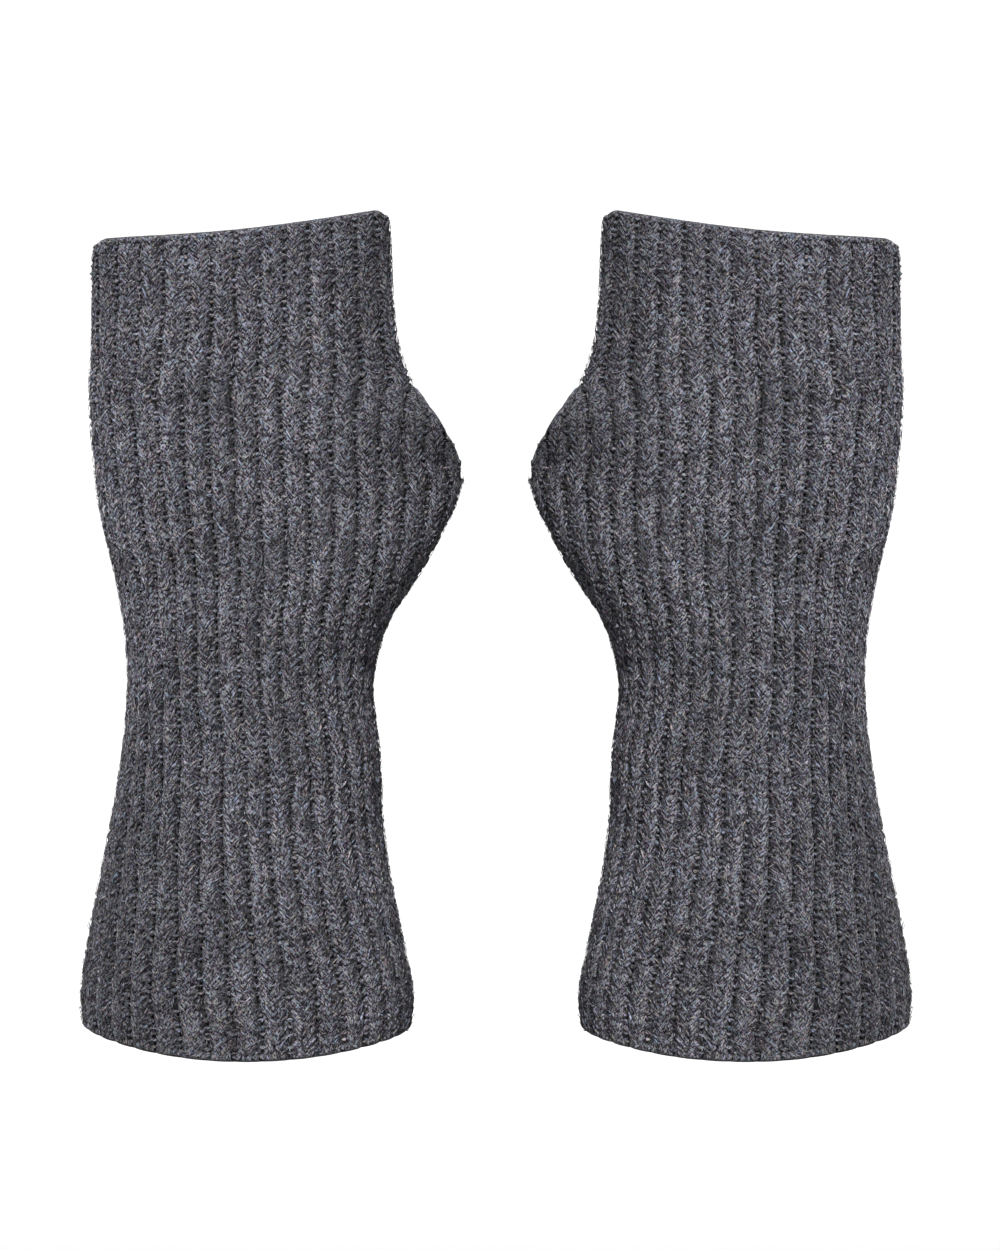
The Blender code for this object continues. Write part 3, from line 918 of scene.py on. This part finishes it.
def streaks(nodes, links, place, turn, grain):
    """Noise drawn out along one direction of the fibre coordinates."""
    stretch = nodes.new("ShaderNodeMapping")
    stretch.vector_type = "TEXTURE"
    stretch.inputs["Rotation"].default_value = (0, math.radians(turn), 0)
    stretch.inputs["Scale"].default_value = grain
    noise = nodes.new("ShaderNodeTexNoise")
    noise.inputs["Scale"].default_value = 1.0
    noise.inputs["Detail"].default_value = 1.5
    links.new(place, stretch.inputs["Vector"])
    links.new(stretch.outputs["Vector"], noise.inputs["Vector"])
    return noise.outputs["Fac"]


def fibre_noise(nodes, links, place, wool):
    """The mean of the streaks in the two ways that the fibres run."""
    total = nodes.new("ShaderNodeMath")
    total.operation = "ADD"
    for socket, turn in zip(total.inputs, wool.turns):
        links.new(streaks(nodes, links, place, turn, wool.grain), socket)
    half = nodes.new("ShaderNodeMath")
    half.operation = "MULTIPLY"
    half.inputs[1].default_value = 0.5
    links.new(total.outputs["Value"], half.inputs[0])
    return half.outputs["Value"]


def wool_ramp(nodes, links, noise, wool):
    """Dark, middle and light wool on the noise."""
    ramp = nodes.new("ShaderNodeValToRGB")
    spots = ramp.color_ramp.elements
    spots = [spots[0], spots.new(0.5), spots[-1]]
    for spot, position, shade, hue in zip(spots, RAMP_SPOTS, wool.shades, HUES):
        spot.position = position
        spot.color = (*(shade * part for part in hue), 1)
    links.new(noise, ramp.inputs["Fac"])
    return ramp.outputs["Color"]


def hue_patches(nodes, links, place):
    """Small changes of hue along the fibres."""
    noise = nodes.new("ShaderNodeTexNoise")
    noise.inputs["Scale"].default_value = HUE_GRAIN
    swing = nodes.new("ShaderNodeVectorMath")
    swing.operation = "MULTIPLY_ADD"
    swing.inputs[1].default_value = HUE_SWING
    swing.inputs[2].default_value = [1 - part / 2 for part in HUE_SWING]
    links.new(place, noise.inputs["Vector"])
    links.new(noise.outputs["Color"], swing.inputs[0])
    return swing.outputs["Vector"]


def wool_material(wool):
    """Charcoal wool, streaked along its fibres."""
    material = bpy.data.materials.new(wool.name)
    material.use_nodes = True
    nodes, links = material.node_tree.nodes, material.node_tree.links
    shader = nodes["Principled BSDF"]
    shader.inputs["Roughness"].default_value = 0.95
    shader.inputs["Specular IOR Level"].default_value = 0.15
    shader.inputs["Sheen Weight"].default_value = 0.1
    shader.inputs["Sheen Roughness"].default_value = 0.55
    place = attribute(nodes, "fibre")
    noise = fibre_noise(nodes, links, place, wool)
    shade = wool_ramp(nodes, links, noise, wool)
    colour = product(nodes, links, shade, attribute(nodes, "tint"))
    colour = product(nodes, links, colour, hue_patches(nodes, links, place))
    links.new(colour, shader.inputs["Base Color"])
    bump = nodes.new("ShaderNodeBump")
    bump.inputs["Strength"].default_value = 0.8
    bump.inputs["Distance"].default_value = 0.4 * MM
    links.new(noise, bump.inputs["Height"])
    links.new(bump.outputs["Normal"], shader.inputs["Normal"])
    return material


def build_gloves():
    """Both gloves, riding on the frame and standing for its nodes."""
    knit, felt, loose = [wool_material(wool) for wool in (STITCH_WOOL, FELT_WOOL, LOOSE_WOOL)]
    legs = [knit_legs(leg) for leg in LEGS]
    inside_legs = [knit_legs(leg, inside=True) for leg in LEGS]
    parts = [
        ("cloth", shell(), felt),
        ("knit", join([*legs, purl_bars(), *raw_edges()]), knit),
        ("inside", join(inside_legs), knit),
    ]
    parts += [(kind.name, strands(kind), loose) for kind in FIBRES]
    for side, mirror in (("left", False), ("right", True)):
        group = bpy.data.collections.new(side)
        bpy.context.scene.collection.children.link(group)
        for name, part, material in parts:
            piece = make_object(f"{side}_{name}", part, material, mirror)
            group.objects.link(piece)
            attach(piece, "root")
        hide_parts(side + "_glove")


def backdrop():
    """A plain pale floor that bends up into a wall."""
    profile = [(FLOOR_FRONT, FLOOR_HEIGHT)]
    for angle in np.linspace(0, math.pi / 2, 12):
        profile.append((WALL_DISTANCE - BEND_RADIUS + BEND_RADIUS * math.sin(angle),
                        FLOOR_HEIGHT + BEND_RADIUS - BEND_RADIUS * math.cos(angle)))
    profile.append((WALL_DISTANCE, WALL_TOP))
    points = [(x, y, z) for x in (-STUDIO_SIDE, STUDIO_SIDE) for y, z in profile]
    count = len(profile)
    faces = [(i, i + count, i + count + 1, i + 1) for i in range(count - 1)]
    mesh = bpy.data.meshes.new("backdrop")
    mesh.from_pydata(points, [], faces)
    mesh.shade_smooth()
    paper = bpy.data.materials.new("white_paper")
    paper.use_nodes = True
    shader = paper.node_tree.nodes["Principled BSDF"]
    shader.inputs["Base Color"].default_value = (0.93, 0.93, 0.93, 1)
    shader.inputs["Roughness"].default_value = 0.9
    mesh.materials.append(paper)
    paper_roll = bpy.data.objects.new("backdrop", mesh)
    paper_roll.visible_diffuse = False
    group = bpy.data.collections.new("stage")
    bpy.context.scene.collection.children.link(group)
    group.objects.link(paper_roll)


def lights():
    """Soft light from all round, and the suns."""
    world = bpy.data.worlds.new("studio")
    world.use_nodes = True
    background = world.node_tree.nodes["Background"]
    background.inputs["Color"].default_value = (1, 1, 1, 1)
    background.inputs["Strength"].default_value = AMBIENT_LIGHT
    bpy.context.scene.world = world
    for sun in SUNS:
        light = bpy.data.lights.new(sun.name, "SUN")
        light.energy = sun.strength
        light.angle = math.radians(sun.spread)
        lamp = bpy.data.objects.new(sun.name, light)
        lamp.rotation_mode = "QUATERNION"
        lamp.rotation_quaternion = Vector(sun.direction).to_track_quat("Z", "Y")
        bpy.context.scene.collection.objects.link(lamp)
        lamp.light_linking.receiver_collection = bpy.data.collections[sun.lit]


def camera():
    """The camera, looking level at the backs of the gloves."""
    lens = bpy.data.cameras.new("camera")
    lens.sensor_fit = "VERTICAL"
    lens.sensor_height = SENSOR_HEIGHT
    lens.lens = SENSOR_HEIGHT / PICTURE_HEIGHT
    view = bpy.data.objects.new("camera", lens)
    view.location = CAMERA_PLACE
    view.rotation_euler = (math.pi / 2, 0, 0)
    bpy.context.scene.collection.objects.link(view)
    bpy.context.scene.camera = view
    bpy.context.scene.view_settings.view_transform = "Standard"


build_gloves()
backdrop()
lights()
camera()
